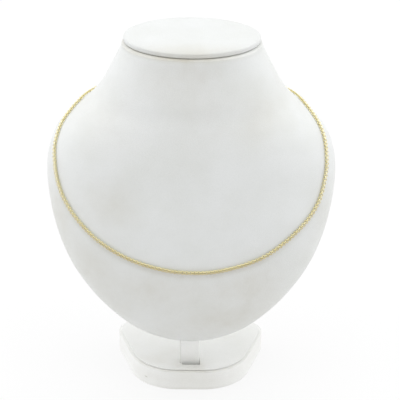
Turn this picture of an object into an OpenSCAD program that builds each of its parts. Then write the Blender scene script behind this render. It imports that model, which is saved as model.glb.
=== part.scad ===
// Cable chain necklace on a small neck bust: the chain with its clasp, and the covered form, cap, post
// and base that show it. Millimetres, +Z up, and the front faces -Y. The origin is the middle of the
// base's underside.

/* [Necklace] */
// Width of the chain
chain_w = 2.1; // [1.8:0.1:2.4]
// Room between the chain and the form that it lies on
chain_gap = 0.3; // [0.25:0.05:0.4]
// Outside diameter of the bolt ring
bolt_ring_d = 5.2; // [5:0.1:6]
// Thickness of the bolt ring's wire
bolt_wire_d = 0.9; // [0.8:0.05:1]
// Outside diameter of the small eye on the bolt ring
eye_d = 2.6; // [2.4:0.1:2.8]
// Thickness of the eye's wire
eye_wire_d = 0.6; // [0.5:0.05:0.7]

/* [Bust] */
// Width across the shoulders
bust_w = 168; // [160:1:176]
// Height of the form, from its lower point to the seam under the cap
bust_h = 174; // [167:1:181]
// Height of the lower point above the floor
point_z = 30; // [28:0.5:33]
// How far the form stands back from the middle of the base
bust_y = -1.5; // [-2:0.5:0]
// Squareness of the chest's front, where 2 is a plain ellipse
chest_square = 2.2; // [2:0.1:2.6]

/* [Neck cap] */
// Thickness of the padded cap
cap_h = 5; // [4:0.5:6]
// Width of the dark seam between the neck and the cap
cap_seam = 0.3; // [0.2:0.1:0.6]
// How far the cap's rim lies inside the edge of the neck
cap_inset = 1.3; // [1:0.1:2]

/* [Post] */
// Width of the post
post_w = 11.3; // [10.5:0.1:12]
// Depth of the post, front to back
post_d = 7; // [6:0.5:8]
// Distance of the post's front face behind the middle of the base
post_front_y = -23.4; // [-24:0.1:-23]
// How deep the post stands in the base
post_foot = 6; // [4:0.5:7]
// How deep the post goes into the form
post_tenon = 27; // [20:1:30]
// Radius of the rolled seam down the post's left front edge
seam_r = 0.5; // [0.4:0.1:0.6]

/* [Base] */
// Width of the base
base_w = 88; // [84:1:94]
// Depth of the base, front to back
base_d = 64; // [61:1:67]
// Height of the block, up to the groove
base_h = 12.2; // [11.2:0.2:13.6]
// Thickness of the top panel
panel_h = 0.9; // [0.8:0.1:1.2]
// How far the panel's edge lies inside the edge of the block
panel_inset = 1.2; // [1:0.1:1.6]
// Radius of the base's front corners
front_corner_r = 29; // [26:1:30]
// Radius of the base's back corners
back_corner_r = 14; // [12:0.5:16]
// Length of the straight front edge
front_flat = 15; // [12:1:17]

/* [Hidden] */

gold = [0.86, 0.73, 0.45];
leatherette = [0.93, 0.93, 0.92];

piece_gap = 0.15;      // between two pieces that meet
form_columns = 48;     // facets round the form
row_steps = 3;         // rings made from one row of the form's table to the next
cap_columns = 64;
tube_sides = 8;
tube_rings = 80;
bite = 0.4;            // how far joined pieces of wire run into each other
past = 1;              // how far a cut runs past the face that it opens

// The form's sections, from the seam at the neck down to the lower point, at a width of 168 and a height of
// 174: height above the point, half width, distance of the widest place behind the form's middle,
// depth in front of it, depth behind it, squareness of the back
PATTERN_W = 168;
PATTERN_H = 174;
FORM = [
    [174.0, 38.8, 12.5, 31.8, 31.3, 2.0],
    [173.2, 39.8, 12.5, 32.8, 32.3, 2.0],
    [171.0, 40.3, 12.5, 33.3, 32.8, 2.0],
    [165.8, 42.7, 13.0, 34.5, 32.0, 2.1],
    [157.5, 46.9, 14.0, 37.5, 29.0, 2.3],
    [148.5, 51.4, 15.0, 41.0, 25.5, 2.5],
    [140.5, 57.4, 16.0, 43.5, 22.5, 2.7],
    [132.0, 67.8, 16.0, 46.0, 19.0, 2.8],
    [122.5, 76.9, 15.0, 47.5, 16.0, 2.9],
    [110.0, 82.5, 12.5, 47.5, 13.5, 3.0],
    [ 96.0, 84.0,  9.5, 46.5, 12.0, 3.0],
    [ 79.5, 82.0,  3.5, 43.0, 11.5, 3.0],
    [ 62.5, 77.5, -2.0, 38.5, 11.5, 3.0],
    [ 46.0, 70.0, -7.5, 33.0, 11.5, 2.8],
    [ 31.0, 59.5, -11.5, 27.5, 11.0, 2.6],
    [ 18.5, 47.5, -15.0, 20.5, 10.0, 2.4],
    [  8.7, 34.5, -18.0, 14.0, 8.5, 2.2],
    [  3.2, 21.5, -20.5, 8.5, 7.0, 2.0],
    [  0.8, 10.5, -21.5, 5.0, 4.5, 2.0],
    [  0.0,  3.5, -22.5, 2.0, 2.0, 2.0],
];

// The cap's edge, from its underside to the middle of its top: share of its thickness, and distance inside
// the rim
CAP_EDGE = [
    [0, 1.4], [0.08, 0.6], [0.2, 0.1], [0.36, 0], [0.5, 0.1], [0.6, 0.6], [0.7, 1.7],
    [0.79, 3.4], [0.87, 6], [0.94, 10.5], [0.98, 17], [1, 27],
];

// The block's edge, from the floor up: height, distance inside the outline
BLOCK_EDGE = [
    [0, 0.9], [0.4, 0.3], [1, 0], [base_h - 1.3, 0], [base_h - 0.5, 0.35], [base_h, 1.2],
];

// One place on the smooth curve through a table's rows, where t counts the rows
function curve_at(table, t) =
    let (i = min(floor(t), len(table) - 2),
         u = t - i,
         a = table[max(i - 1, 0)],
         b = table[i],
         c = table[i + 1],
         d = table[min(i + 2, len(table) - 1)])
    0.5 * (2 * b + (c - a) * u + (2 * a - 5 * b + 4 * c - d) * u * u + (3 * b - a - 3 * c + d) * u * u * u);

form_rows = [for (i = [0 : (len(FORM) - 1) * row_steps]) curve_at(FORM, i / row_steps)];
// One lookup table for each column of the form, with heights rising
form_columns_by_height = [for (col = [1 : 5]) [for (i = [len(form_rows) - 1 : -1 : 0])
    [form_rows[i][0], form_rows[i][col]]]];

// The form's section at a height: the table's columns, worked out there
function section_at(height) = concat([height], [for (table = form_columns_by_height) lookup(height, table)]);

// A place on a section, by the angle round it
function section_point(section, angle) =
    let (across = sin(angle),
         along = -cos(angle),
         square_n = along < 0 ? chest_square : section[5],
         depth = along < 0 ? section[3] : section[4],
         k = pow(pow(abs(across), square_n) + pow(abs(along), square_n), -1 / square_n))
    [section[1] * across * k * bust_w / PATTERN_W,
     bust_y + section[2] + depth * along * k,
     point_z + section[0] * bust_h / PATTERN_H];

function form_place(angle, height) = section_point(section_at(height), angle);

function unit(v) = v / norm(v);

// The direction straight out of the form at a place on it
function outward(angle, height) = unit(cross(
    form_place(angle + 1, height) - form_place(angle - 1, height),
    form_place(angle, height + 1) - form_place(angle, height - 1)));

// Rings of equal numbers of points become one closed solid, with a flat face on the first and the last ring
function ring_faces(rings, sides) = concat(
    [[for (j = [sides - 1 : -1 : 0]) j]],
    [[for (j = [0 : sides - 1]) (rings - 1) * sides + j]],
    [for (i = [0 : rings - 2], j = [0 : sides - 1])
        let (k = (j + 1) % sides)
        [i * sides + j, i * sides + k, (i + 1) * sides + k, (i + 1) * sides + j]]);

module solid_of_rings(rings) {
    sides = len(rings[0]);
    polyhedron(
        points = [for (ring = rings) each ring],
        faces = [for (face = ring_faces(len(rings), sides)) [for (i = [len(face) - 1 : -1 : 0]) face[i]]],
        convexity = 6);
}

// The clasp is a bolt ring with an eye. It lies parallel to the back of the neck, in line with the chain's
// middle, and the chain's ends leave room for its length.
clasp_height = 146.5;
clasp_length = bolt_ring_d + eye_d - bite;
clasp_out = outward(180, clasp_height);
clasp_tilt = atan2(-clasp_out[2], clasp_out[1]);
clasp_centre = form_place(180, clasp_height) + (chain_w / 2 + chain_gap) * clasp_out;
neck_half_width = section_at(clasp_height)[1] * bust_w / PATTERN_W;
clasp_angle = 180 - asin((clasp_length / 2 + piece_gap) / neck_half_width);

// The chain's route over the form, from one side of the clasp to the other: angle round it, where 0 is the
// front and 90 the right shoulder, and height above the lower point
ROUTE = [
    [-clasp_angle, clasp_height],
    [-163, 145.8], [-150, 143.8], [-137, 141.6], [-124, 139.2], [-113, 137.2], [-104, 136],
    [-96, 134.9], [-89.5, 132.8], [-83.5, 128.2], [-77, 123], [-71.5, 115.6], [-66.5, 108.6], [-63, 101],
    [-59, 92.8], [-53.5, 84.6], [-47.5, 77.6], [-40.5, 70.4], [-32.5, 64.4], [-24.5, 59.8],
    [-16, 56.6], [-8, 54.6], [0, 53.8], [8, 54], [16, 55.6], [24, 58.2], [32.5, 62.4],
    [40, 68.6], [47, 75.2], [53.5, 82.2], [59, 91.2], [63.5, 103.8], [67, 112.4], [71.5, 119.4],
    [77, 125.6], [83, 130], [89, 133.8], [96, 135.4], [104, 136.4], [113, 137.6], [124, 139.4],
    [137, 141.6], [150, 143.8], [163, 145.8],
    [clasp_angle, clasp_height],
];

// The chain's middle line stands off the form by half its width and the gap
function chain_centre(angle, height) =
    form_place(angle, height) + (chain_w / 2 + chain_gap) * outward(angle, height);

chain_knots = [for (place = ROUTE) chain_centre(place[0], place[1])];
chain_steps = [for (i = [0 : tube_rings - 1]) i * (len(ROUTE) - 1) / (tube_rings - 1)];
chain_line = [for (step = chain_steps) curve_at(chain_knots, step)];
chain_places = [for (step = chain_steps) curve_at(ROUTE, step)];

module chain() {
    last = tube_rings - 1;
    color(gold) solid_of_rings([for (i = [0 : last])
        let (out = outward(chain_places[i][0], chain_places[i][1]),
             ahead = unit(chain_line[min(i + 1, last)] - chain_line[max(i - 1, 0)]),
             side = unit(cross(ahead, out)),
             up = cross(side, ahead))
        [for (j = [0 : tube_sides - 1])
            let (turn = 360 * j / tube_sides)
            chain_line[i] + chain_w / 2 * (cos(turn) * up + sin(turn) * side)]]);
}

module wire_ring(outside_d, wire_d) {
    rotate_extrude($fn = 48) translate([(outside_d - wire_d) / 2, 0]) circle(d = wire_d, $fn = 24);
}

module clasp() {
    color(gold)
        translate(clasp_centre)
        rotate([-90 - clasp_tilt, 0, 0]) {
            translate([(bolt_ring_d - clasp_length) / 2, 0, 0]) wire_ring(bolt_ring_d, bolt_wire_d);
            translate([(clasp_length - eye_d) / 2, 0, 0]) wire_ring(eye_d, eye_wire_d);
        }
}

// The post's slots in the base and in the form are wider on the side of the rolled seam and in front of it
slot_front = 1.7;
slot_left = seam_r + piece_gap;
seam_inset = [0.1, 0.2];   // the seam's middle, inside the post's left and front faces
post_corner_r = 0.7;
post_z = base_h - post_foot + piece_gap;
post_top = point_z + post_tenon;

module post_slot(z, height, front) {
    translate([-post_w / 2 - slot_left, post_front_y - front, z])
        cube([post_w + slot_left + piece_gap, post_d + front + piece_gap, height]);
}

module bust() {
    color(leatherette)
        difference() {
            solid_of_rings([for (row = form_rows)
                [for (j = [0 : form_columns - 1]) section_point(row, 360 * j / form_columns)]]);
            post_slot(0, post_top + piece_gap, seam_r + piece_gap);
        }
}

cap_z = point_z + bust_h + cap_seam;

// The cap's outline is the neck's, set in by a distance
function cap_ring(inset, z) = [for (j = [0 : cap_columns - 1])
    let (angle = 360 * j / cap_columns,
         neck = FORM[2],
         depth = cos(angle) > 0 ? neck[3] : neck[4])
    [(neck[1] * bust_w / PATTERN_W - cap_inset - inset) * sin(angle),
     bust_y + neck[2] - (depth - cap_inset - inset) * cos(angle),
     z]];

module neck_cap() {
    color(leatherette) solid_of_rings([for (i = [len(CAP_EDGE) - 1 : -1 : 0])
        cap_ring(CAP_EDGE[i][1], cap_z + CAP_EDGE[i][0] * cap_h)]);
}

module post() {
    color(leatherette)
        translate([0, post_front_y, post_z])
        linear_extrude(post_top - post_z) {
            translate([-post_w / 2, post_corner_r]) square([post_w, post_d - 2 * post_corner_r]);
            translate([-post_w / 2 + post_corner_r, 0]) square([post_w - 2 * post_corner_r, post_d]);
            for (x = [-1, 1], y = [post_corner_r, post_d - post_corner_r])
                translate([x * (post_w / 2 - post_corner_r), y]) circle(post_corner_r, $fn = 32);
            translate([-post_w / 2 + seam_inset[0], seam_inset[1]]) circle(seam_r, $fn = 32);
        }
}

// The base's outline: arcs round two front and two back corners, joined by straight lines that touch them.
// The side line touches both arcs where their outward directions agree.
front_centre = [front_flat / 2, -base_d / 2 + front_corner_r];
back_centre = [base_w / 2 - back_corner_r, base_d / 2 - back_corner_r];
corner_span = back_centre - front_centre;
side_angle = atan2(corner_span[1], corner_span[0])
    - acos((front_corner_r - back_corner_r) / norm(corner_span));
arc_steps = 14;

function arc(centre, r, from, to) = [for (i = [0 : arc_steps])
    let (turn = from + (to - from) * i / arc_steps)
    centre + r * [cos(turn), sin(turn)]];

function base_ring(inset, z) =
    let (right_half = concat(
             arc(front_centre, front_corner_r - inset, -90, side_angle),
             arc(back_centre, back_corner_r - inset, side_angle, 90)),
         left_half = [for (i = [len(right_half) - 1 : -1 : 0]) [-right_half[i][0], right_half[i][1]]])
    [for (p = concat(right_half, left_half)) [p[0], p[1], z]];

module base() {
    color(leatherette)
        difference() {
            solid_of_rings([for (i = [len(BLOCK_EDGE) - 1 : -1 : 0])
                base_ring(BLOCK_EDGE[i][1], BLOCK_EDGE[i][0])]);
            post_slot(base_h - post_foot, post_foot + past, slot_front);
        }
}

module base_panel() {
    color(leatherette)
        difference() {
            translate([0, 0, base_h + piece_gap])
                linear_extrude(panel_h)
                polygon([for (p = base_ring(panel_inset, 0)) [p[0], p[1]]]);
            post_slot(base_h - past, panel_h + 2 * past, slot_front);
        }
}

chain();
clasp();
bust();
neck_cap();
post();
base();
base_panel();
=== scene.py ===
# %% [markdown]
# # A fine gold chain on a white neck bust
#
# The real thing is a fine gold cable chain, lying round a small neck bust that is covered in white
# leatherette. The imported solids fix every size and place. This script dresses them: it makes the same
# forms again as smooth surfaces, adds the links that a plain tube stands for, and gives each surface
# its finish. All tables are in millimetres, and each mesh is brought to metres when it is made.

# %% Load the frame
import math

import bpy
import numpy as np
from mathutils import Euler, Matrix, Vector


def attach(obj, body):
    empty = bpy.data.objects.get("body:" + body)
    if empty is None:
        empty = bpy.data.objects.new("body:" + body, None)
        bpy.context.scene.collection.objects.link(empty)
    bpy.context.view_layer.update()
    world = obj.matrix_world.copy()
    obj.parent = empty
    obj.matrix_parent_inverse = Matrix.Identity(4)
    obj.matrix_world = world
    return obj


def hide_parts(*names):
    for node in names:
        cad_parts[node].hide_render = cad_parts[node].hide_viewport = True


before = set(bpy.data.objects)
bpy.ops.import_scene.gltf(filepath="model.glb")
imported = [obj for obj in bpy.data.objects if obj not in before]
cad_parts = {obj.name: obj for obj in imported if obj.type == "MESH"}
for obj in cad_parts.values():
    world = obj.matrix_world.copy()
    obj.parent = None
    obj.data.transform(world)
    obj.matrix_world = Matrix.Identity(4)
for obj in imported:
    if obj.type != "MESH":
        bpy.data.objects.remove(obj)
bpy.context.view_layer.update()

MM = 0.001

# %% [markdown]
# ## The camera
#
# The photograph looks down on the bust from in front, at about 25 degrees, through a long lens: the
# top of the cap shows as a flat ellipse, and the sides hardly converge. A camera can be aimed by a
# constraint, or turned by eye until the picture fits. Here it is placed by that angle, its distance
# and the point that it looks at, because each of them can be judged in the photograph by itself. The
# lens follows from the picture's width. In the photograph the cap stands a little to the right of the
# base, as it does when a camera is held by hand, so this one has a slight roll.

# %% Camera
FRAME_PX = 400
FOCAL_PX = 1620
SENSOR_MM = 36
NEAREST_SEEN = 0.05
CAMERA_TARGET = Vector((5.25, -1.5, 110.25)) * MM
CAMERA_DISTANCE = 945 * MM
CAMERA_ELEVATION = math.radians(25)
CAMERA_ROLL = math.radians(0.5)

lens = bpy.data.cameras.new("camera")
lens.sensor_width = SENSOR_MM
lens.lens = FOCAL_PX / FRAME_PX * SENSOR_MM
lens.clip_start = NEAREST_SEEN
camera = bpy.data.objects.new("camera", lens)
tilted = Euler((math.pi / 2 - CAMERA_ELEVATION, 0, 0)).to_matrix()
camera.rotation_euler = (tilted @ Matrix.Rotation(CAMERA_ROLL, 3, "Z")).to_euler()
camera.location = CAMERA_TARGET + CAMERA_DISTANCE * Vector(
    (0, -math.cos(CAMERA_ELEVATION), math.sin(CAMERA_ELEVATION)))
bpy.context.scene.collection.objects.link(camera)
bpy.context.scene.camera = camera
print("The lens is", round(lens.lens, 1), "mm, at", [round(c, 3) for c in camera.location])

# %% [markdown]
# ## The light tent
#
# Jewellery is shot in a white tent, so that polished metal has something plain to mirror. Two lamps
# outside its sides and one above light it, and the front, where the camera looks in, stays dim: the
# chest turns grey in the middle and nearly white towards its edges. Area lamps could stand there, but
# the links would mirror their hard edges. Instead the world's own light is the tent: a sum of one term
# for each wall, which grows towards its side. The side walls have two terms, one for the wide glow of
# the cloth and one, a high power, for the bright spot where the lamp stands. The view transform is
# Standard, so that white stays white.

# %% Light
TENT_ROOM = 0.15
TENT_SIDES = 0.96
TENT_LAMPS = 0.6
LAMP_POWER = 8
TENT_BACK = 0.4
TENT_TOP = 1.95
TOP_POWER = 4

bpy.context.scene.view_settings.view_transform = "Standard"
world = bpy.data.worlds.new("light tent")
bpy.context.scene.world = world
world.use_nodes = True
tent = world.node_tree


def tent_math(operation, *values):
    """A Math node, each of whose inputs is a number or another node's output."""
    node = tent.nodes.new("ShaderNodeMath")
    node.operation = operation
    for socket, value in zip(node.inputs, values):
        if isinstance(value, bpy.types.NodeSocket):
            tent.links.new(value, socket)
        else:
            socket.default_value = value
    return node.outputs[0]


direction = tent.nodes.new("ShaderNodeTexCoord").outputs["Generated"]
parts = tent.nodes.new("ShaderNodeSeparateXYZ")
tent.links.new(direction, parts.inputs[0])
from_sides = tent_math("ABSOLUTE", parts.outputs["X"])
from_back = tent_math("MAXIMUM", parts.outputs["Y"], 0.0)
from_top = tent_math("POWER", tent_math("MAXIMUM", parts.outputs["Z"], 0.0), TOP_POWER)
strength = tent_math("MULTIPLY_ADD", from_sides, TENT_SIDES, TENT_ROOM)
strength = tent_math("MULTIPLY_ADD", tent_math("POWER", from_sides, LAMP_POWER), TENT_LAMPS, strength)
strength = tent_math("MULTIPLY_ADD", from_back, TENT_BACK, strength)
strength = tent_math("MULTIPLY_ADD", from_top, TENT_TOP, strength)
tent.nodes["Background"].inputs["Color"].default_value = (1, 1, 1, 1)
tent.links.new(strength, tent.nodes["Background"].inputs["Strength"])
print("The tent's light is", TENT_ROOM, "in front and",
      round(TENT_ROOM + TENT_SIDES + TENT_LAMPS, 2), "at its sides")

# %% [markdown]
# ## Surfaces from arrays
#
# All that this stand is made of is smooth and closed, so every new piece can be a grid of points:
# rings that are stacked along one parameter, with the same number of points round each. Modelling
# tools and subdivision would round it too, but a formula keeps each size that the solids fix. Two
# helpers serve all the pieces: a smooth curve through a table's rows, and a mesh made from a grid,
# closed by a point in the middle of its first and last ring.

# %% Curves and grids
def curve_at(table, t):
    """The smooth curve through a table's rows, where t counts the rows: between rows b and c, with
    their neighbours a and d, it is the uniform Catmull-Rom cubic."""
    table = np.asarray(table, float)
    t = np.asarray(t, float)
    i = np.minimum(np.floor(t).astype(int), len(table) - 2)
    u = (t - i)[:, None]
    a = table[np.maximum(i - 1, 0)]
    b = table[i]
    c = table[i + 1]
    d = table[np.minimum(i + 2, len(table) - 1)]
    cubic = 2 * b + (c - a) * u + (2 * a - 5 * b + 4 * c - d) * u**2 + (3 * b - a - 3 * c + d) * u**3
    return cubic / 2


def row_steps(table, steps):
    """The smooth curve at equal steps from a table's first row to its last."""
    return curve_at(table, np.linspace(0, len(table) - 1, (len(table) - 1) * steps + 1))


def unit(vectors):
    """Each vector divided by its length."""
    return vectors / np.linalg.norm(vectors, axis=-1, keepdims=True)


def ring_quads(rings, sides, wrap=False):
    """Four-cornered faces between each ring and the next; with wrap, also from the last to the first."""
    i = np.arange(rings if wrap else rings - 1)[:, None]
    j = np.arange(sides)[None, :]
    after = (j + 1) % sides
    above = (i + 1) % rings
    quads = [i * sides + j, i * sides + after, above * sides + after, above * sides + j]
    return np.stack(quads, -1).reshape(-1, 4)


def make_piece(name, points, quads, triangles=()):
    """A smooth-shaded object from points in millimetres. Faces are turned outwards where the volume
    that they enclose, summed from one corner of each, comes out negative."""
    points = np.asarray(points, float).reshape(-1, 3)
    quads = np.asarray(quads, int).reshape(-1, 4)
    triangles = np.asarray(triangles, int).reshape(-1, 3)
    halves = np.concatenate([quads[:, [0, 1, 2]], quads[:, [0, 2, 3]], triangles])
    a, b, c = (points[halves[:, k]] for k in range(3))
    if np.einsum("ij,ij->", a, np.cross(b, c)) < 0:
        quads, triangles = quads[:, ::-1], triangles[:, ::-1]
    mesh = bpy.data.meshes.new(name)
    mesh.from_pydata((points * MM).tolist(), [], quads.tolist() + triangles.tolist())
    mesh.polygons.foreach_set("use_smooth", np.ones(len(mesh.polygons), bool))
    mesh.update()
    piece = bpy.data.objects.new(name, mesh)
    bpy.context.scene.collection.objects.link(piece)
    print(name, "has", len(halves), "triangles")
    return piece


def closed_stack(name, rings):
    """One closed piece from stacked rings, shaped (rings, points, 3), with a point in the middle of
    its first and last ring."""
    count, sides = rings.shape[:2]
    ends = [rings[0].mean(0), rings[-1].mean(0)]
    points = np.concatenate([rings.reshape(-1, 3), ends])
    j = np.arange(sides)
    after = (j + 1) % sides
    first = np.stack([after, j, np.full(sides, count * sides)], -1)
    start = (count - 1) * sides
    last = np.stack([start + j, start + after, np.full(sides, count * sides + 1)], -1)
    return make_piece(name, points, ring_quads(count, sides), np.concatenate([first, last]))

# %% [markdown]
# ## The covered form
#
# The neck, shoulders and chest are one moulded core with leatherette stretched over it, so the form
# has no hard line anywhere. It could be sculpted, but level sections tell it best, because the
# photograph shows their widths. Each is half an ellipse in front and a squarer half behind, and a
# table gives the widths and depths at twenty heights. The smooth curve through the table's rows gives
# the sections between them.

# %% Form table
BUST_Y = -1.5
POINT_Z = 30
CHEST_SQUARE = 2.2

# height above the lower point, half width, distance of the widest place behind the form's middle,
# depth in front of it, depth behind it, squareness of the back
FORM = np.array([
    [174.0, 38.8, 12.5, 31.8, 31.3, 2.0],
    [173.2, 39.8, 12.5, 32.8, 32.3, 2.0],
    [171.0, 40.3, 12.5, 33.3, 32.8, 2.0],
    [165.8, 42.7, 13.0, 34.5, 32.0, 2.1],
    [157.5, 46.9, 14.0, 37.5, 29.0, 2.3],
    [148.5, 51.4, 15.0, 41.0, 25.5, 2.5],
    [140.5, 57.4, 16.0, 43.5, 22.5, 2.7],
    [132.0, 67.8, 16.0, 46.0, 19.0, 2.8],
    [122.5, 76.9, 15.0, 47.5, 16.0, 2.9],
    [110.0, 82.5, 12.5, 47.5, 13.5, 3.0],
    [96.0, 84.0, 9.5, 46.5, 12.0, 3.0],
    [79.5, 82.0, 3.5, 43.0, 11.5, 3.0],
    [62.5, 77.5, -2.0, 38.5, 11.5, 3.0],
    [46.0, 70.0, -7.5, 33.0, 11.5, 2.8],
    [31.0, 59.5, -11.5, 27.5, 11.0, 2.6],
    [18.5, 47.5, -15.0, 20.5, 10.0, 2.4],
    [8.7, 34.5, -18.0, 14.0, 8.5, 2.2],
    [3.2, 21.5, -20.5, 8.5, 7.0, 2.0],
    [0.8, 10.5, -21.5, 5.0, 4.5, 2.0],
    [0.0, 3.5, -22.5, 2.0, 2.0, 2.0],
])
HEIGHT, HALF_WIDTH, MIDDLE, FRONT_DEPTH, BACK_DEPTH, BACK_SQUARE = range(6)
print(len(FORM), "sections, and the widest is", 2 * FORM[:, HALF_WIDTH].max(), "mm wide")


def section_point(section, angle):
    """A place on a level section, by the angle round it, where 0 is the front and 90 the right side.
    The direction (across, along) is stretched until |across|^n + |along|^n is 1, and then scaled to
    the half width and the depth on its side."""
    section, angle = np.asarray(section, float), np.radians(angle)
    across, along = np.sin(angle), -np.cos(angle)
    in_front = along < 0
    n = np.where(in_front, CHEST_SQUARE, section[..., BACK_SQUARE])
    depth = np.where(in_front, section[..., FRONT_DEPTH], section[..., BACK_DEPTH])
    k = (np.abs(across)**n + np.abs(along)**n)**(-1 / n)
    return np.stack([
        section[..., HALF_WIDTH] * across * k,
        BUST_Y + section[..., MIDDLE] + depth * along * k,
        POINT_Z + section[..., HEIGHT] + 0 * k,
    ], -1)


# %% Form surface
FORM_COLUMNS = 300
FORM_STEPS = 15

form_rows = row_steps(FORM, FORM_STEPS)
round_form = np.arange(FORM_COLUMNS) * 360 / FORM_COLUMNS
form = closed_stack("bust_form", section_point(form_rows[:, None, :], round_form[None, :]))
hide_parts("bust")

# %% [markdown]
# ## The neck cap
#
# The neck ends in a thin board, padded and covered, that is pressed on last. Its edge is a soft roll,
# and a fine dark seam shows under it. A flat disc with a bevel would leave its top level, but padding
# rises towards the middle. So the cap follows the neck's own section, set in by a distance that one
# profile gives, from the underside, round the roll, to the middle of the top.

# %% Cap
CAP_HEIGHT = 5
CAP_SEAM = 0.3
CAP_INSET = 1.3
CAP_Z = POINT_Z + FORM[0, HEIGHT] + CAP_SEAM
NECK_ROW = 2
CAP_COLUMNS = 192
EDGE_STEPS = 6

# share of the cap's thickness, distance inside its rim
CAP_EDGE = np.array([
    [0, 0.9], [0.07, 0.3], [0.17, 0.05], [0.34, 0], [0.5, 0.1], [0.6, 0.6], [0.7, 1.7],
    [0.79, 3.4], [0.87, 6], [0.94, 10.5], [0.98, 17], [1, 27],
])


def cap_rings(edge, columns):
    """Rings of the neck's outline, each set in by its own distance and at its own height."""
    angle = np.arange(columns)[None, :] * 2 * math.pi / columns
    neck = FORM[NECK_ROW]
    share, inset = edge[:, :1], edge[:, 1:] + CAP_INSET
    depth = np.where(np.cos(angle) > 0, neck[FRONT_DEPTH], neck[BACK_DEPTH])
    return np.stack([
        (neck[HALF_WIDTH] - inset) * np.sin(angle),
        BUST_Y + neck[MIDDLE] - (depth - inset) * np.cos(angle),
        CAP_Z + share * CAP_HEIGHT + 0 * angle,
    ], -1)


cap = closed_stack("neck_cap_pad", cap_rings(row_steps(CAP_EDGE, EDGE_STEPS), CAP_COLUMNS))
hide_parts("neck_cap")

# %% [markdown]
# ## The base
#
# The base is a fibreboard block wrapped in the same leatherette, with a thin covered panel laid on
# top; the groove between the two reads as a soft line. A box with bevelled corners would come close,
# but here the corners differ: wide arcs in front and tighter ones behind, joined by straight sides.
# Both pieces are that outline, set in and stacked, which rounds their edges evenly all the way.

# %% Base outline
BASE_W = 88
BASE_D = 64
BASE_H = 12.2
FRONT_CORNER_R = 29
BACK_CORNER_R = 14
FRONT_FLAT = 15
ARC_STEPS = 40

front_centre = np.array([FRONT_FLAT / 2, -BASE_D / 2 + FRONT_CORNER_R])
back_centre = np.array([BASE_W / 2 - BACK_CORNER_R, BASE_D / 2 - BACK_CORNER_R])
corner_span = back_centre - front_centre
side_angle = math.atan2(corner_span[1], corner_span[0]) - math.acos(
    (FRONT_CORNER_R - BACK_CORNER_R) / np.linalg.norm(corner_span))
print("The front arcs end at", round(math.degrees(side_angle), 1), "degrees, where the sides begin")


def arc(centre, radii, start, end):
    """Points on an arc, one row for each radius: centre plus radius times (cos turn, sin turn)."""
    turn = np.linspace(start, end, ARC_STEPS + 1)
    return centre + radii[:, None, None] * np.stack([np.cos(turn), np.sin(turn)], -1)


def base_rings(edge):
    """The base's outline at each row of an edge profile of height and distance inside: the right
    half's two arcs, and their mirror image in reverse order."""
    height, inset = edge[:, 0], edge[:, 1]
    right = np.concatenate([
        arc(front_centre, FRONT_CORNER_R - inset, -math.pi / 2, side_angle),
        arc(back_centre, BACK_CORNER_R - inset, side_angle, math.pi / 2),
    ], axis=1)
    flat = np.concatenate([right, right[:, ::-1] * [-1, 1]], axis=1)
    levels = np.broadcast_to(height[:, None, None], flat.shape[:2] + (1,))
    return np.concatenate([flat, levels], -1)


# %% Block and panel
PIECE_GAP = 0.15
PANEL_H = 0.9
PANEL_INSET = 1.2

# height, distance inside the outline
BLOCK_EDGE = np.array([
    [0, 0.9], [0.4, 0.3], [1, 0], [BASE_H - 1.3, 0], [BASE_H - 0.5, 0.35], [BASE_H, 1.2],
    [BASE_H, 4],
])
# height above the block, distance inside the outline
PANEL_EDGE = np.array([
    [0, 0.5], [0.2, 0.05], [0.45, 0], [0.7, 0.25], [0.86, 0.8], [PANEL_H, 2], [PANEL_H, 6],
])
PANEL_EDGE += [BASE_H + PIECE_GAP, PANEL_INSET]

block = closed_stack("base_block", base_rings(row_steps(BLOCK_EDGE, EDGE_STEPS)))
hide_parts("base")
panel = closed_stack("base_top_panel", base_rings(row_steps(PANEL_EDGE, EDGE_STEPS)))
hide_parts("base_panel")

# %% [markdown]
# ## The post's slots
#
# The post stands in a slot in the base and runs up into the form. The grids could leave the slots
# open, but then they would need rows just there. It is simpler to cut a prism out of the block, the
# panel and the form, with a Boolean modifier that is applied at once. The slot follows the rolled
# seam closely. Right of it, in front of the post's foot, it is a little long, and that opening shows
# as the short dark line in the photograph.

# %% Slots
POST_W = 11.3
POST_D = 7
POST_FRONT_Y = -23.4
POST_FOOT = 6
POST_TOP = POINT_Z + 27
SEAM_R = 0.5
SEAM_INSET = (0.1, 0.2)
SLOT_FRONT = 2.2
SLOT_SIDE = 0.04
OPENING_LEFT = -4.6
OPENING_RIGHT = 5.95
PAST = 1
SHARP_ANGLE = math.radians(50)

seam_x, seam_y = -POST_W / 2 + SEAM_INSET[0], POST_FRONT_Y + SEAM_INSET[1]
seam_turns = np.radians(np.arange(180, 300, 15))
fit = SEAM_R + SLOT_SIDE
round_seam = np.stack(
    [seam_x + fit * np.cos(seam_turns), seam_y + fit * np.sin(seam_turns)], -1).tolist()
left, right = seam_x - fit, POST_W / 2 + SLOT_SIDE
near, back = POST_FRONT_Y - SLOT_SIDE, POST_FRONT_Y + POST_D + PIECE_GAP
opening = POST_FRONT_Y - SLOT_FRONT
SLOT_ROUND_POST = round_seam + [[OPENING_LEFT, near], [right, near], [right, back], [left, back]]
SLOT_WITH_OPENING = round_seam + [[OPENING_LEFT, near], [OPENING_LEFT, opening],
                                  [OPENING_RIGHT, opening], [right, back], [left, back]]


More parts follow.
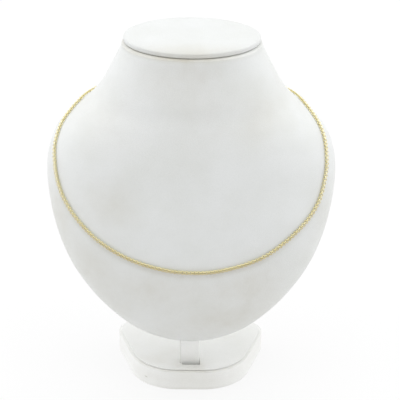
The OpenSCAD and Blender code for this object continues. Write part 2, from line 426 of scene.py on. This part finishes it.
def cut_slot(piece, low_z, high_z, outline):
    """Cuts a prism out of a piece: that outline, carried from one height to the other."""
    prism = closed_stack("slot", np.array([[[x, y, z] for x, y in outline] for z in (low_z, high_z)]))
    cut = piece.modifiers.new("slot", "BOOLEAN")
    cut.operation = "DIFFERENCE"
    cut.solver = "EXACT"
    cut.object = prism
    evaluated = piece.evaluated_get(bpy.context.evaluated_depsgraph_get())
    piece.data = bpy.data.meshes.new_from_object(evaluated)
    piece.modifiers.clear()
    bpy.data.objects.remove(prism)
    piece.data.set_sharp_from_angle(angle=SHARP_ANGLE)
    print(piece.name, "has", len(piece.data.polygons), "faces after its slot is cut")


cut_slot(block, BASE_H - POST_FOOT, BASE_H + PAST, SLOT_WITH_OPENING)
cut_slot(panel, BASE_H - PAST, BASE_H + PANEL_H + PAST, SLOT_WITH_OPENING)
cut_slot(form, 0, POST_TOP + PIECE_GAP, SLOT_ROUND_POST)

# %% [markdown]
# ## The chain's route
#
# A fine chain finds its own line on a bust: down the chest in a deep curve, and round the back of
# the neck to the clasp. A simulation could let it fall there, but not just where the photograph shows
# it. So the route is a list of angles round the form and heights. A smooth curve runs through those
# places in space, and each of its points is then settled on the form, by the steps that Newton's
# method takes along the surface, so that the chain lies on it all the way.

# %% Route
CHAIN_W = 2.1
CHAIN_GAP = 0.3
BOLT_RING_D = 5.2
BOLT_WIRE_D = 0.9
EYE_D = 2.6
EYE_WIRE_D = 0.6
BITE = 0.4
CLASP_HEIGHT = 146.5
CLASP_LENGTH = BOLT_RING_D + EYE_D - BITE
SLOPE_STEP = 0.5
FINE_STEPS = 40

fine_rows = row_steps(FORM, FINE_STEPS)[::-1]


def form_place(angle, height):
    """A place on the form by angle and height, with the section interpolated at that height."""
    columns = [np.interp(height, fine_rows[:, 0], fine_rows[:, c]) for c in range(FORM.shape[1])]
    return section_point(np.stack(columns, -1), angle)


def slopes(angle, height):
    """How a place on the form moves for one degree of angle, and for one millimetre of height."""
    step = SLOPE_STEP
    by_angle = form_place(angle + step, height) - form_place(angle - step, height)
    by_height = form_place(angle, height + step) - form_place(angle, height - step)
    return by_angle / (2 * step), by_height / (2 * step)


def outward(angle, height):
    """The direction straight out of the form: the unit cross product of the two slopes."""
    return unit(np.cross(*slopes(angle, height)))


neck_half_width = form_place(np.array(90.0), np.array(CLASP_HEIGHT))[0]
clasp_angle = 180 - math.degrees(math.asin((CLASP_LENGTH / 2 + PIECE_GAP) / neck_half_width))
print("The chain ends", round(180 - clasp_angle, 1), "degrees from the middle of the back")

# angle round the form, height above the lower point
ROUTE = np.array([
    [-clasp_angle, CLASP_HEIGHT],
    [-163, 145.8], [-150, 143.8], [-137, 141.6], [-124, 139.2], [-113, 137.2], [-104, 136],
    [-96, 134.9], [-89.5, 132.8], [-83.5, 128.2], [-77, 123], [-71.5, 115.6], [-66.5, 108.6], [-63, 101],
    [-59, 92.8], [-53.5, 84.6], [-47.5, 77.6], [-40.5, 70.4], [-32.5, 64.4], [-24.5, 59.8],
    [-16, 56.6], [-8, 54.6], [0, 53.8], [8, 54], [16, 55.6], [24, 58.2], [32.5, 62.4],
    [40, 68.6], [47, 75.2], [53.5, 82.2], [59, 91.2], [63.5, 103.8], [67, 112.4], [71.5, 119.4],
    [77, 125.6], [83, 130], [89, 133.8], [96, 135.4], [104, 136.4], [113, 137.6], [124, 139.4],
    [137, 141.6], [150, 143.8], [163, 145.8],
    [clasp_angle, CLASP_HEIGHT],
])

# %% Settle the route on the form
ROUTE_STEPS = 60
NEWTON_STEPS = 6


def settle(points, angle, height):
    """Angles and heights of the form's places straight under the points. Each step solves, in the
    plane of the two slopes, for the move that takes the place nearest to its point."""
    for _ in range(NEWTON_STEPS):
        by_angle, by_height = slopes(angle, height)
        miss = points - form_place(angle, height)
        aa, ah, hh = ((p * q).sum(-1) for p, q in
                      ((by_angle, by_angle), (by_angle, by_height), (by_height, by_height)))
        ma, mh = (miss * by_angle).sum(-1), (miss * by_height).sum(-1)
        whole = aa * hh - ah * ah
        angle = angle + (ma * hh - mh * ah) / whole
        height = height + (mh * aa - ma * ah) / whole
    return angle, height


knots = form_place(*ROUTE.T) + CHAIN_W / 2 * outward(*ROUTE.T)
steps = np.linspace(0, len(ROUTE) - 1, (len(ROUTE) - 1) * ROUTE_STEPS + 1)
route_angle, route_height = settle(curve_at(knots, steps), *curve_at(ROUTE, steps).T)
route_ground = form_place(route_angle, route_height)
route_out = outward(route_angle, route_height)
ground_length = np.linalg.norm(np.diff(route_ground, axis=0), axis=1).sum()
print("The route on the form is", round(ground_length, 1), "mm long")

# %% [markdown]
# ## The links
#
# A cable chain is a row of round-wire loops, each turned a quarter against the next. Lying on a
# surface, they settle at a slant, leaning one way and then the other. Every link is the same oval of
# wire: its middle line is an ellipse, and a small circle carried along it gives the wire. Copies of
# one link could follow a curve, but the chain is one piece, so all its links are worked out as one
# array and joined in one mesh. They lift to the clasp at the back, where a slightly larger ring holds
# each end. An attribute keeps how much grime and painted shade each point has, because that depends
# on the place within the link, which a material can't know.

# %% Link arrays
LINK_LENGTH = 2.15
LINK_WIDTH = 2.45
LINK_WIRE = 0.5
LINK_PLAY = 0.02
LINK_LEAN = math.radians(35)
LEAN_SPREAD = math.radians(3)
LINK_SIDES = 14
WIRE_SIDES = 6
CHAIN_REST = 0.05
CLASP_STANDOFF = CHAIN_W / 2 + CHAIN_GAP
LIFT_LENGTH = 14


def wire_loops(centres, along, across, length, width, wire):
    """Closed oval loops of wire, one for each centre. The middle line is centre + a cos(u) along +
    b sin(u) across, with a and b half the oval less half the wire. The wire's section is a circle in
    the plane of the oval's own normal and the loop's axis."""
    a, b = (length - wire) / 2, (width - wire) / 2
    u = np.arange(LINK_SIDES)[None, :, None] * 2 * math.pi / LINK_SIDES
    v = np.arange(WIRE_SIDES)[None, None, :, None] * 2 * math.pi / WIRE_SIDES
    centres, along, across = (x[:, None, :] for x in (centres, along, across))
    middle = centres + a * np.cos(u) * along + b * np.sin(u) * across
    normal = unit(b * np.cos(u) * along + a * np.sin(u) * across)
    axis = np.cross(along, across) + 0 * normal
    rim = np.cos(v) * normal[:, :, None, :] + np.sin(v) * axis[:, :, None, :]
    return middle[:, :, None, :] + wire / 2 * rim


# %% Place the links
link_height = (LINK_WIDTH - LINK_WIRE) * math.sin(LINK_LEAN) + LINK_WIRE
arc_length = np.r_[0, np.cumsum(np.linalg.norm(np.diff(route_ground, axis=0), axis=1))]
from_end = np.minimum(arc_length, arc_length[-1] - arc_length) / LIFT_LENGTH
lift = 1 - np.clip(from_end, 0, 1)
lift = lift * lift * (3 - 2 * lift)
lying = link_height / 2 + CHAIN_REST
standoff = lying + (CLASP_STANDOFF - lying) * lift
chain_line = route_ground + standoff[:, None] * route_out
chain_arc = np.r_[0, np.cumsum(np.linalg.norm(np.diff(chain_line, axis=0), axis=1))]


def at_arc(values, where):
    """Values along the chain's line, at lengths measured from its start."""
    return np.stack([np.interp(where, chain_arc, values[:, k]) for k in range(3)], -1)


# %% Find the ends of the row of links
END_RING_R = 1.05
END_WIRE = 0.45
END_PLAY = 0.05
END_LEAN = math.radians(55)

bolt_x = (BOLT_RING_D - CLASP_LENGTH) / 2 - (BOLT_RING_D - BOLT_WIRE_D) / 2
eye_x = (CLASP_LENGTH - EYE_D) / 2 + (EYE_D - EYE_WIRE_D) / 2
left_ring_x = bolt_x + BOLT_WIRE_D / 2 + END_WIRE / 2 + END_PLAY - END_RING_R
right_ring_x = eye_x - EYE_WIRE_D / 2 - END_WIRE / 2 - END_PLAY + END_RING_R
reach = END_RING_R - END_WIRE / 2 - LINK_WIRE / 2 - LINK_PLAY + (LINK_LENGTH - LINK_WIRE) / 2
near_end = chain_arc < LIFT_LENGTH
first_arc = np.interp(reach - left_ring_x, -chain_line[near_end, 0], chain_arc[near_end])
near_end = chain_arc > chain_arc[-1] - LIFT_LENGTH
last_arc = np.interp(-reach - right_ring_x, -chain_line[near_end, 0], chain_arc[near_end])

pitch = LINK_LENGTH - 2 * LINK_WIRE - LINK_PLAY
links = int(round((last_arc - first_arc) / pitch)) + 1
link_arc = np.linspace(first_arc, last_arc, links)
print(links, "links,", round(link_arc[1] - link_arc[0], 3), "mm apart for", round(pitch, 3))

# %% Links
rng = np.random.default_rng(7)
centres = at_arc(chain_line, link_arc)
ahead = unit(at_arc(chain_line, link_arc + pitch / 2) - at_arc(chain_line, link_arc - pitch / 2))
out = at_arc(route_out, link_arc)
side = unit(np.cross(ahead, out))
out = np.cross(side, ahead)
turn = np.where(np.arange(links) % 2 == 0, -1, 1)
lean = turn * LINK_LEAN + rng.uniform(-LEAN_SPREAD, LEAN_SPREAD, links)
leaning = np.cos(lean)[:, None] * side + np.sin(lean)[:, None] * out
loops = wire_loops(centres, ahead, leaning, LINK_LENGTH, LINK_WIDTH, LINK_WIRE)

# %% End rings
clasp_out = outward(np.array(180.0), np.array(CLASP_HEIGHT))
clasp_centre = form_place(np.array(180.0), np.array(CLASP_HEIGHT)) + CLASP_STANDOFF * clasp_out
clasp_x = np.array([1.0, 0, 0])
end_turns = np.array([-turn[0], -turn[-1]])[:, None]
end_sides = np.array([side[0], side[-1]])
end_outs = np.array([out[0], out[-1]])
end_leaning = math.cos(END_LEAN) * end_sides + end_turns * math.sin(END_LEAN) * end_outs
end_centres = clasp_centre + np.array([left_ring_x, right_ring_x])[:, None] * clasp_x
end_along = np.array([clasp_x, clasp_x])
end_size = 2 * END_RING_R + END_WIRE
end_loops = wire_loops(end_centres, end_along, end_leaning, end_size, end_size, END_WIRE)

# %% Join the links
all_loops = np.concatenate([loops, end_loops])
one_loop = ring_quads(LINK_SIDES, WIRE_SIDES, wrap=True)
offsets = np.arange(len(all_loops)) * LINK_SIDES * WIRE_SIDES
chain = make_piece("chain_links", all_loops, one_loop[None] + offsets[:, None, None])
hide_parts("chain")

# %% Grime and painted shade on the links
CORE_SHARE = 0.65
INNER_GRIME_AND_SHADE = 0.45
CORE_GRIME_AND_SHADE = 0.45
LOWER_SIDE_SHADE = 1.3

# Three shares from 0 to 1 are weighted and added up. One grows from the outside of each oval to its
# inside, one towards its two ends, where it holds the next links, and one towards its lower side.
# The first two are grime and painted shade in the hollows; the last is painted shade alone, as if
# the light fell from above.
round_wire = np.arange(WIRE_SIDES) * 2 * math.pi / WIRE_SIDES
round_link = np.arange(LINK_SIDES) * 2 * math.pi / LINK_SIDES
inner = (1 - np.cos(round_wire))[None, :] / 2
core = np.clip(1 - np.abs(np.sin(round_link)) / CORE_SHARE, 0, 1)[:, None]
grime_and_shade_share = np.tile(INNER_GRIME_AND_SHADE * inner + CORE_GRIME_AND_SHADE * core, (len(all_loops), 1, 1))
from_middle = loops - centres[:, None, None, :]
lowered = (from_middle * side[:, None, None, :]).sum(-1) * -side[:, 2, None, None] / (LINK_WIDTH / 2)
# painted shade on the lower side of each link, as if the light fell from above
grime_and_shade_share[:links] += LOWER_SIDE_SHADE * np.clip(lowered, 0, 1)
grime_and_shade = chain.data.attributes.new("grime_and_shade", "FLOAT", "POINT")
grime_and_shade.data.foreach_set("value", np.clip(grime_and_shade_share, 0, 1).ravel())
print("Grime covers", round(grime_and_shade_share.mean(), 2), "of a link on average")

# %% [markdown]
# ## Stains and painted shade on the cover
#
# White leatherette shows every touch. The cover is darker in patches under the cap, on both sides of
# the chest and low on the chest. Much of this is painted shade: a thin ring right under the cap, the
# lower chest where it turns downward, with a warm tint there too, the chest just below the chain, the
# cap's front rim, which is greyer than its top, the groove of the base, the foot of its wall and the
# panel before the post's foot. They could be painted by hand. Here each patch is a soft round or long
# one, given by its middle, its reach and its strength, because a row in a table is easy to move. The
# chain's painted shadow follows the chain's own route, a little lower on the form. The sum is kept at
# every point of the mesh as an attribute, which the material reads.

# %% Stains and painted shade
# sideways, height above the floor, reach sideways, reach up and down, strength
# painted shade: the thin ring at 204, under the cap, darkens the seam; the wide rows at 36 and 64 darken
# the lower chest where it turns downward, with a warm tint too; the rows at 72 and 74 deepen the chain's
# painted shadow. The other rows are darker patches.
FORM_STAINS_AND_SHADE = np.array([
    [-2, 197, 22, 16, 0.28], [5, 170, 24, 20, 0.12], [40, 170, 14, 14, 0.28],
    [-46, 121, 14, 12, 0.33], [-76, 108, 8, 18, 0.38], [77, 109, 7, 15, 0.20],
    [-58, 83, 13, 14, 0.35], [41, 83, 15, 10, 0.20], [-23, 74, 20, 11, 0.25],
    [29, 72, 20, 11, 0.24], [0, 64, 56, 18, 0.16], [21, 50, 20, 9, 0.30], [0, 36, 50, 16, 0.22],
    [-48, 166, 18, 16, 0.15], [-10, 204, 38, 1.4, 0.75], [-46, 58, 16, 14, 0.15],
    [47, 60, 16, 14, 0.18], [70, 86, 9, 15, 0.14],
])
# painted shade: the first row darkens the groove under the panel and the last the foot of the wall by
# the floor; the middle row is a darker patch on the wall's front.
BLOCK_SHADE_AND_PATCH = np.array([[0, 12.3, 32, 0.8, 0.35], [4, 7, 34, 8, 0.25], [0, 0.4, 24, 0.9, 0.3]])
# sideways, front to back, reach sideways, reach front to back, strength
# painted shade: the cap's front rim, which faces the dim front of the tent, is darker than its top
CAP_FRONT_SHADE = np.array([[-2, -22, 42, 10, 0.5]])
# painted shade: the first row is the soft shadow before the post's foot and the second the groove along
# the panel's front edge; the third is a darker patch left of the post.
PANEL_SHADE_AND_PATCH = np.array([[0.3, -27, 6.5, 3.6, 1.1], [0, -31, 26, 1, 0.25], [-16, -19, 12, 7, 0.3]])

# painted shadow of the chain: a soft dark line a little below its route on the form
CHAIN_SHADOW_DROP = 2.4
CHAIN_SHADOW_REACH = 2.0
CHAIN_SHADOW_STRENGTH = 0.4
CHAIN_SHADOW_STRIDE = 8
chain_shadow_line = form_place(route_angle, route_height - CHAIN_SHADOW_DROP)[::CHAIN_SHADOW_STRIDE]


def painted_chain_shadow(points):
    """The chain's shadow, painted on the cover a little below where it hangs: strength
    times exp(-(d/reach)^2), where d is the distance to the nearest point of that line."""
    squares = (points**2).sum(-1)[:, None] + (chain_shadow_line**2).sum(-1) - 2 * points @ chain_shadow_line.T
    return CHAIN_SHADOW_STRENGTH * np.exp(-squares.min(1) / CHAIN_SHADOW_REACH**2)


def stains_and_shade(piece, stains, axis, chain_shadow=lambda points: 0):
    """Adds up the stains and painted shade at each vertex: strength times
    exp(-(dx/reach)^2 - (dv/reach)^2), where v is the vertex's height or its place from front to back,
    and adds the chain's painted shadow. They fade out where the surface turns to the back: by 1 - 2 n,
    where n is the part of the normal that points back."""
    points, normals = np.empty((2, len(piece.data.vertices) * 3))
    piece.data.vertices.foreach_get("co", points)
    piece.data.vertices.foreach_get("normal", normals)
    points = points.reshape(-1, 1, 3) / MM
    x, v, reach_x, reach_v, strength = stains.T
    bells = np.exp(-((points[..., 0] - x) / reach_x)**2 - ((points[..., axis] - v) / reach_v)**2)
    total = (strength * bells).sum(1) + chain_shadow(points[:, 0])
    total = total * np.clip(1 - 2 * normals[1::3], 0, 1)
    piece.data.attributes.new("stains_and_shade", "FLOAT", "POINT").data.foreach_set("value", total)
    print(piece.name, "is soiled up to", round(total.max(), 2))


stains_and_shade(form, FORM_STAINS_AND_SHADE, 2, painted_chain_shadow)
stains_and_shade(block, BLOCK_SHADE_AND_PATCH, 2)
stains_and_shade(cap, CAP_FRONT_SHADE, 1)
stains_and_shade(panel, PANEL_SHADE_AND_PATCH, 1)

# %% [markdown]
# ## White leatherette
#
# Leatherette is a vinyl skin with a fine pressed grain. It is satin, never quite one colour, and
# picks up a little dirt from handling. Two scales of noise shift its tone, cells a bit over half a
# millimetre wide press the grain, whose valleys are a little darker, and the same noise moves the
# roughness. On top come the stains and painted shade that the attribute holds and, on the post and
# the base, a few marks: the post is grey at its foot with dust and painted shade, has a painted
# highlight along its rolled seam and painted shade in the crease beside it, and the base has a scuff.
# A repeated texture would need the form unwrapped, and its seams would show. All of this is measured
# in object space instead, so the grain has the same size on every piece.

# %% Node helpers
def add_node(tree, kind, **inputs):
    """A shader node with some of its inputs set by name."""
    node = tree.nodes.new(kind)
    for key, value in inputs.items():
        node.inputs[key.replace("_", " ")].default_value = value
    return node


def scaled_noise(tree, coordinates, size_mm, detail, offset=0.0):
    """Soft noise whose lumps are about that many millimetres across."""
    node = add_node(tree, "ShaderNodeTexNoise", Scale=1 / (size_mm * MM), Detail=detail)
    node.noise_dimensions = "4D"
    node.inputs["W"].default_value = offset
    tree.links.new(coordinates, node.inputs["Vector"])
    return node.outputs["Fac"]


def remap(tree, value, from_min, from_max, to_min, to_max):
    """A value carried from one range to another, and clamped there."""
    node = tree.nodes.new("ShaderNodeMapRange")
    for number, limit in zip((1, 2, 3, 4), (from_min, from_max, to_min, to_max)):
        node.inputs[number].default_value = limit
    tree.links.new(value, node.inputs[0])
    return node.outputs[0]


def mix_colour(tree, factor, a, b):
    """Colour a where the factor is 0 and b where it is 1. Each may be a colour or an output."""
    node = tree.nodes.new("ShaderNodeMix")
    node.data_type = "RGBA"
    tree.links.new(factor, node.inputs[0])
    for socket, colour in ((node.inputs[6], a), (node.inputs[7], b)):
        if isinstance(colour, bpy.types.NodeSocket):
            tree.links.new(colour, socket)
        else:
            socket.default_value = (*colour, 1)
    return node.outputs[2]


def multiply(tree, a, b):
    """The product of two colours."""
    node = tree.nodes.new("ShaderNodeMix")
    node.data_type = "RGBA"
    node.blend_type = "MULTIPLY"
    node.inputs[0].default_value = 1
    tree.links.new(a, node.inputs[6])
    tree.links.new(b, node.inputs[7])
    return node.outputs[2]


def bump(tree, height, distance_mm, strength, under=None):
    """Bump from a height from 0 to 1 that stands for that many millimetres."""
    node = tree.nodes.new("ShaderNodeBump")
    node.inputs["Strength"].default_value = strength
    node.inputs["Distance"].default_value = distance_mm * MM
    tree.links.new(height, node.inputs["Height"])
    if under is not None:
        tree.links.new(under, node.inputs["Normal"])
    return node.outputs["Normal"]


def new_material(name):
    """A material with its node tree, its shader and the object coordinates."""
    material = bpy.data.materials.new(name)
    material.use_nodes = True
    tree = material.node_tree
    coordinates = tree.nodes.new("ShaderNodeTexCoord").outputs["Object"]
    return material, tree, tree.nodes["Principled BSDF"], coordinates


# %% Marks on the post and the base, with painted light and shade on the post
# painted light on the post: its foot is grey with dust and painted shade, the strip down its left edge
# stays lighter as a painted highlight, and the crease left of it has painted shade
FOOT_DUST_AND_SHADE = (0.89, 0.89, 0.875)
FOOT_FADE = (25, 13)
FACE_GREY = (0.99, 0.99, 0.99)
CREASE_SHADE = (0.87, 0.87, 0.86)
STRIP_RIGHT = -4.0
STRIP_LEFT = -5.4
STRIP_FADE = 0.3
SCUFF_GREY = (0.5, 0.49, 0.42)
SCUFF_PLACE = (-26, -25, 4.8)
SCUFF_REACH = (1.3, 4, 0.6)
SCUFF_CORE = 0.3
SCUFF_MOST = 0.6


def along_axis(tree, where, axis, start_mm, end_mm):
    """0 where the object's x, y or z is at the start, and 1 where it is at the end."""
    split = tree.nodes.new("ShaderNodeSeparateXYZ")
    tree.links.new(where, split.inputs[0])
    return remap(tree, split.outputs[axis], start_mm * MM, end_mm * MM, 0, 1)


def post_marks(tree, where):
    """The post is grey towards its foot, with dust and painted shade. Down its left edge runs a strip,
    a painted highlight, beside the rolled seam, and painted shade lies in the crease left of that."""
    # grey foot: dust and painted shade
    yield along_axis(tree, where, "Z", *FOOT_FADE), FOOT_DUST_AND_SHADE
    # painted highlight: the face right of the strip is a little darker
    yield along_axis(tree, where, "X", STRIP_RIGHT, STRIP_RIGHT + STRIP_FADE), FACE_GREY
    # painted shade in the crease
    yield along_axis(tree, where, "X", STRIP_LEFT + STRIP_FADE, STRIP_LEFT), CREASE_SHADE


def block_marks(tree, where):
    """A scuff on the wall of the base, left of the middle. It grows from 0 at the edge of an oval round
    its place to its most inside the core."""
    offset = tree.nodes.new("ShaderNodeMapping")
    offset.inputs["Location"].default_value = [-p / r for p, r in zip(SCUFF_PLACE, SCUFF_REACH)]
    offset.inputs["Scale"].default_value = [1 / (r * MM) for r in SCUFF_REACH]
    tree.links.new(where, offset.inputs["Vector"])
    away = tree.nodes.new("ShaderNodeVectorMath")
    away.operation = "LENGTH"
    tree.links.new(offset.outputs["Vector"], away.inputs[0])
    yield remap(tree, away.outputs["Value"], 1, SCUFF_CORE, 0, SCUFF_MOST), SCUFF_GREY


# %% Leatherette
# the tone of the stains and painted shade that the attribute holds
STAIN_AND_SHADE_TONE = (0.62, 0.60, 0.53)
WORN_SHARE = (0.955, 0.955, 0.941)
SMUDGED_SHARE = 0.96
# size in millimetres, and the range of the noise that shows
CLOUD_MM = 26
CLOUD_RANGE = (0.42, 0.68)
SMUDGE_MM = 7
SMUDGE_RANGE = (0.55, 0.8)
MIDDLE_RANGE = (0.3, 0.7)
SMUDGE_MOST = 0.35
PATCHINESS = (0.75, 1.25)
GRAIN_MM = 0.65
VALLEY_WIDTH = 0.25
VALLEY_TONE = 0.95
# how deep in millimetres, and how strongly the bump shows it
GRAIN_BUMP = (0.05, 0.7)
CLOUD_BUMP = (0.5, 0.25)
SATIN = (0.46, 0.58)
LEATHER_SPECULAR = 0.35


def leatherette(name, white, seed, marks=lambda tree, where: ()):
    """White vinyl with a pressed grain, cloudy in tone and in gloss, and darkened by its attribute of
    stains and painted shade.
    The marks are pairs of a factor and a tint: where the factor is 1, the tone is multiplied by it."""
    material, tree, shader, where = new_material(name)
    clouds = scaled_noise(tree, where, CLOUD_MM, 4, seed)
    smudges = scaled_noise(tree, where, SMUDGE_MM, 3, seed + 3.1)
    handled = tuple(c * share for c, share in zip(white, WORN_SHARE))
    tone = mix_colour(tree, remap(tree, clouds, *CLOUD_RANGE, 0, 1), white, handled)
    smudged = tuple(c * SMUDGED_SHARE for c in white)
    tone = mix_colour(tree, remap(tree, smudges, *SMUDGE_RANGE, 0, SMUDGE_MOST), tone, smudged)
    # stains and painted shade from the attribute
    stains_and_shade_node = tree.nodes.new("ShaderNodeAttribute")
    stains_and_shade_node.attribute_name = "stains_and_shade"
    patchy = tree.nodes.new("ShaderNodeMath")
    patchy.operation = "MULTIPLY"
    tree.links.new(stains_and_shade_node.outputs["Fac"], patchy.inputs[0])
    tree.links.new(remap(tree, smudges, *MIDDLE_RANGE, *PATCHINESS), patchy.inputs[1])
    tone = mix_colour(tree, patchy.outputs[0], tone, STAIN_AND_SHADE_TONE)
    for factor, colour in marks(tree, where):
        tone = multiply(tree, tone, mix_colour(tree, factor, (1, 1, 1), colour))
    cells = add_node(tree, "ShaderNodeTexVoronoi", Scale=1 / (GRAIN_MM * MM))
    cells.feature = "DISTANCE_TO_EDGE"
    tree.links.new(where, cells.inputs["Vector"])
    grain = remap(tree, cells.outputs["Distance"], 0, VALLEY_WIDTH, 0, 1)
    darker = mix_colour(tree, grain, (VALLEY_TONE,) * 3, (1, 1, 1))
    tree.links.new(multiply(tree, tone, darker), shader.inputs["Base Color"])
    tree.links.new(remap(tree, smudges, *MIDDLE_RANGE, *SATIN), shader.inputs["Roughness"])
    pressed = bump(tree, grain, *GRAIN_BUMP)
    soft = bump(tree, clouds, *CLOUD_BUMP, pressed)
    tree.links.new(soft, shader.inputs["Normal"])
    shader.inputs["Specular IOR Level"].default_value = LEATHER_SPECULAR
    print(name, "has", len(tree.nodes), "nodes")
    return material


# %% One white for each piece, lit and shaded copies
# painted light and shade: each piece's white is set lighter or darker to make up for how the light falls
# on it; the post, in the form's shade, has the lightest
leather_form = leatherette("white leatherette, form", (0.790, 0.805, 0.800), 0.0)
leather_cap = leatherette("white leatherette, cap", (0.76, 0.775, 0.77), 5.0)
leather_block = leatherette("white leatherette, base", (0.915, 0.92, 0.905), 9.0, block_marks)
leather_panel = leatherette("white leatherette, panel", (0.835, 0.84, 0.825), 12.0)
leather_post = leatherette("white leatherette, post", (0.98, 0.985, 0.97), 15.0, post_marks)

# %% [markdown]
# ## Polished gold
#
# The chain is a pale yellow gold. A glossy yellow paint would mirror the tent in white, but metal
# gives its tint to all that it mirrors, so the tint goes in the base colour with metallic at 1. The
# wire is drawn and tumbled: smooth, with faint streaks. The attribute turns the gold brown: grime and
# painted shade inside the ovals and where links meet, and painted shade alone along the side that
# hangs lowest, as if the light fell from above. Such shade could be worked out from the mesh's
# hollows while rendering, but links so small have it more surely from the attribute.

# %% Gold
GOLD = (1.0, 0.94, 0.60)
GOLD_WORN = (0.97, 0.88, 0.50)
# the brown of grime and painted shade, which the attribute mixes in
GRIME_AND_SHADE_BROWN = (0.46, 0.335, 0.13)
GRIME_AND_SHADE_FROM = 0.25
GRIME_AND_SHADE_MOST = 0.8
POLISH = (0.16, 0.3)
WEAR_MM = 2.5
WEAR_TINT_RANGE = (0.4, 0.7)
WEAR_GLOSS_RANGE = (0.35, 0.7)
STREAK_MM = 0.12
STREAK_BUMP = (0.004, 0.3)


def polished_gold(name):
    """Pale yellow gold with fine tumbling marks, turned brown by grime and painted shade."""
    material, tree, shader, where = new_material(name)
    wear = scaled_noise(tree, where, WEAR_MM, 3)
    streaks = scaled_noise(tree, where, STREAK_MM, 2, 4.0)
    grime_and_shade = tree.nodes.new("ShaderNodeAttribute")
    grime_and_shade.attribute_name = "grime_and_shade"
    tint = mix_colour(tree, remap(tree, wear, *WEAR_TINT_RANGE, 0, 1), GOLD, GOLD_WORN)
    grime_and_shade_factor = remap(tree, grime_and_shade.outputs["Fac"], GRIME_AND_SHADE_FROM, 1, 0, GRIME_AND_SHADE_MOST)
    tint = mix_colour(tree, grime_and_shade_factor, tint, GRIME_AND_SHADE_BROWN)
    tree.links.new(tint, shader.inputs["Base Color"])
    tree.links.new(remap(tree, wear, *WEAR_GLOSS_RANGE, *POLISH), shader.inputs["Roughness"])
    tree.links.new(bump(tree, streaks, *STREAK_BUMP), shader.inputs["Normal"])
    shader.inputs["Metallic"].default_value = 1.0
    print(name, "has", len(tree.nodes), "nodes")
    return material


gold = polished_gold("polished pale gold")

# %% [markdown]
# ## Dress the pieces
#
# One roll of leatherette covers the whole stand, and the chain and clasp are of one gold. The pieces
# could all share one white, but each has its own, set lighter or darker to make up for how the light
# falls on it: lit and shaded copies of one white, which paint light and shade. The post and the clasp
# keep their solids, which are fine enough, and only get their finish.
# Nothing moves, so the five new pieces ride on the one body.

# %% Dress the pieces
def dress(piece, material, slot):
    """Gives a piece its one material. The slot is not used."""
    piece.data.materials.clear()
    piece.data.materials.append(material)
    print(piece.name, "is dressed in", material.name)


for piece, material, slot in (
        (form, leather_form, "leatherette"), (cap, leather_cap, "leatherette"),
        (block, leather_block, "leatherette"), (panel, leather_panel, "leatherette"),
        (chain, gold, "gold")):
    dress(piece, material, slot)
    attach(piece, "root")
dress(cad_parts["post"], leather_post, "leatherette")
dress(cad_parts["clasp"], gold, "gold")

# %% [markdown]
# ## The floor
#
# The photograph shows no floor line, only white: such things are often shot on a lit table of milky
# plastic. A purely glowing disc would hide that the stand rests on something, and a plain white one
# would turn grey round the base. So a wide pale disc that also glows stands for the table. It comes
# out white, and the shadow under the base stays faint and soft.

# %% Floor
FLOOR_RADIUS = 3000
FLOOR_SIDES = 96
FLOOR_WHITE = (0.2, 0.2, 0.2)
FLOOR_GLOW = 0.74
FLOOR_ROUGHNESS = 0.9
FLOOR_SPECULAR = 0.1

round_floor = np.arange(FLOOR_SIDES) * 2 * math.pi / FLOOR_SIDES
edge = FLOOR_RADIUS * np.stack([np.cos(round_floor), np.sin(round_floor), 0 * round_floor], -1)
floor_mesh = bpy.data.meshes.new("floor")
floor_mesh.from_pydata((edge * MM).tolist(), [], [list(range(FLOOR_SIDES))])
floor = bpy.data.objects.new("floor", floor_mesh)
bpy.context.scene.collection.objects.link(floor)
floor_material, _, floor_shader, _ = new_material("pale floor")
floor_shader.inputs["Roughness"].default_value = FLOOR_ROUGHNESS
floor_shader.inputs["Base Color"].default_value = (*FLOOR_WHITE, 1)
floor_shader.inputs["Specular IOR Level"].default_value = FLOOR_SPECULAR
floor_shader.inputs["Emission Color"].default_value = (1, 1, 1, 1)
floor_shader.inputs["Emission Strength"].default_value = FLOOR_GLOW
floor.data.materials.append(floor_material)
print("The floor is", 2 * FLOOR_RADIUS * MM, "m wide")
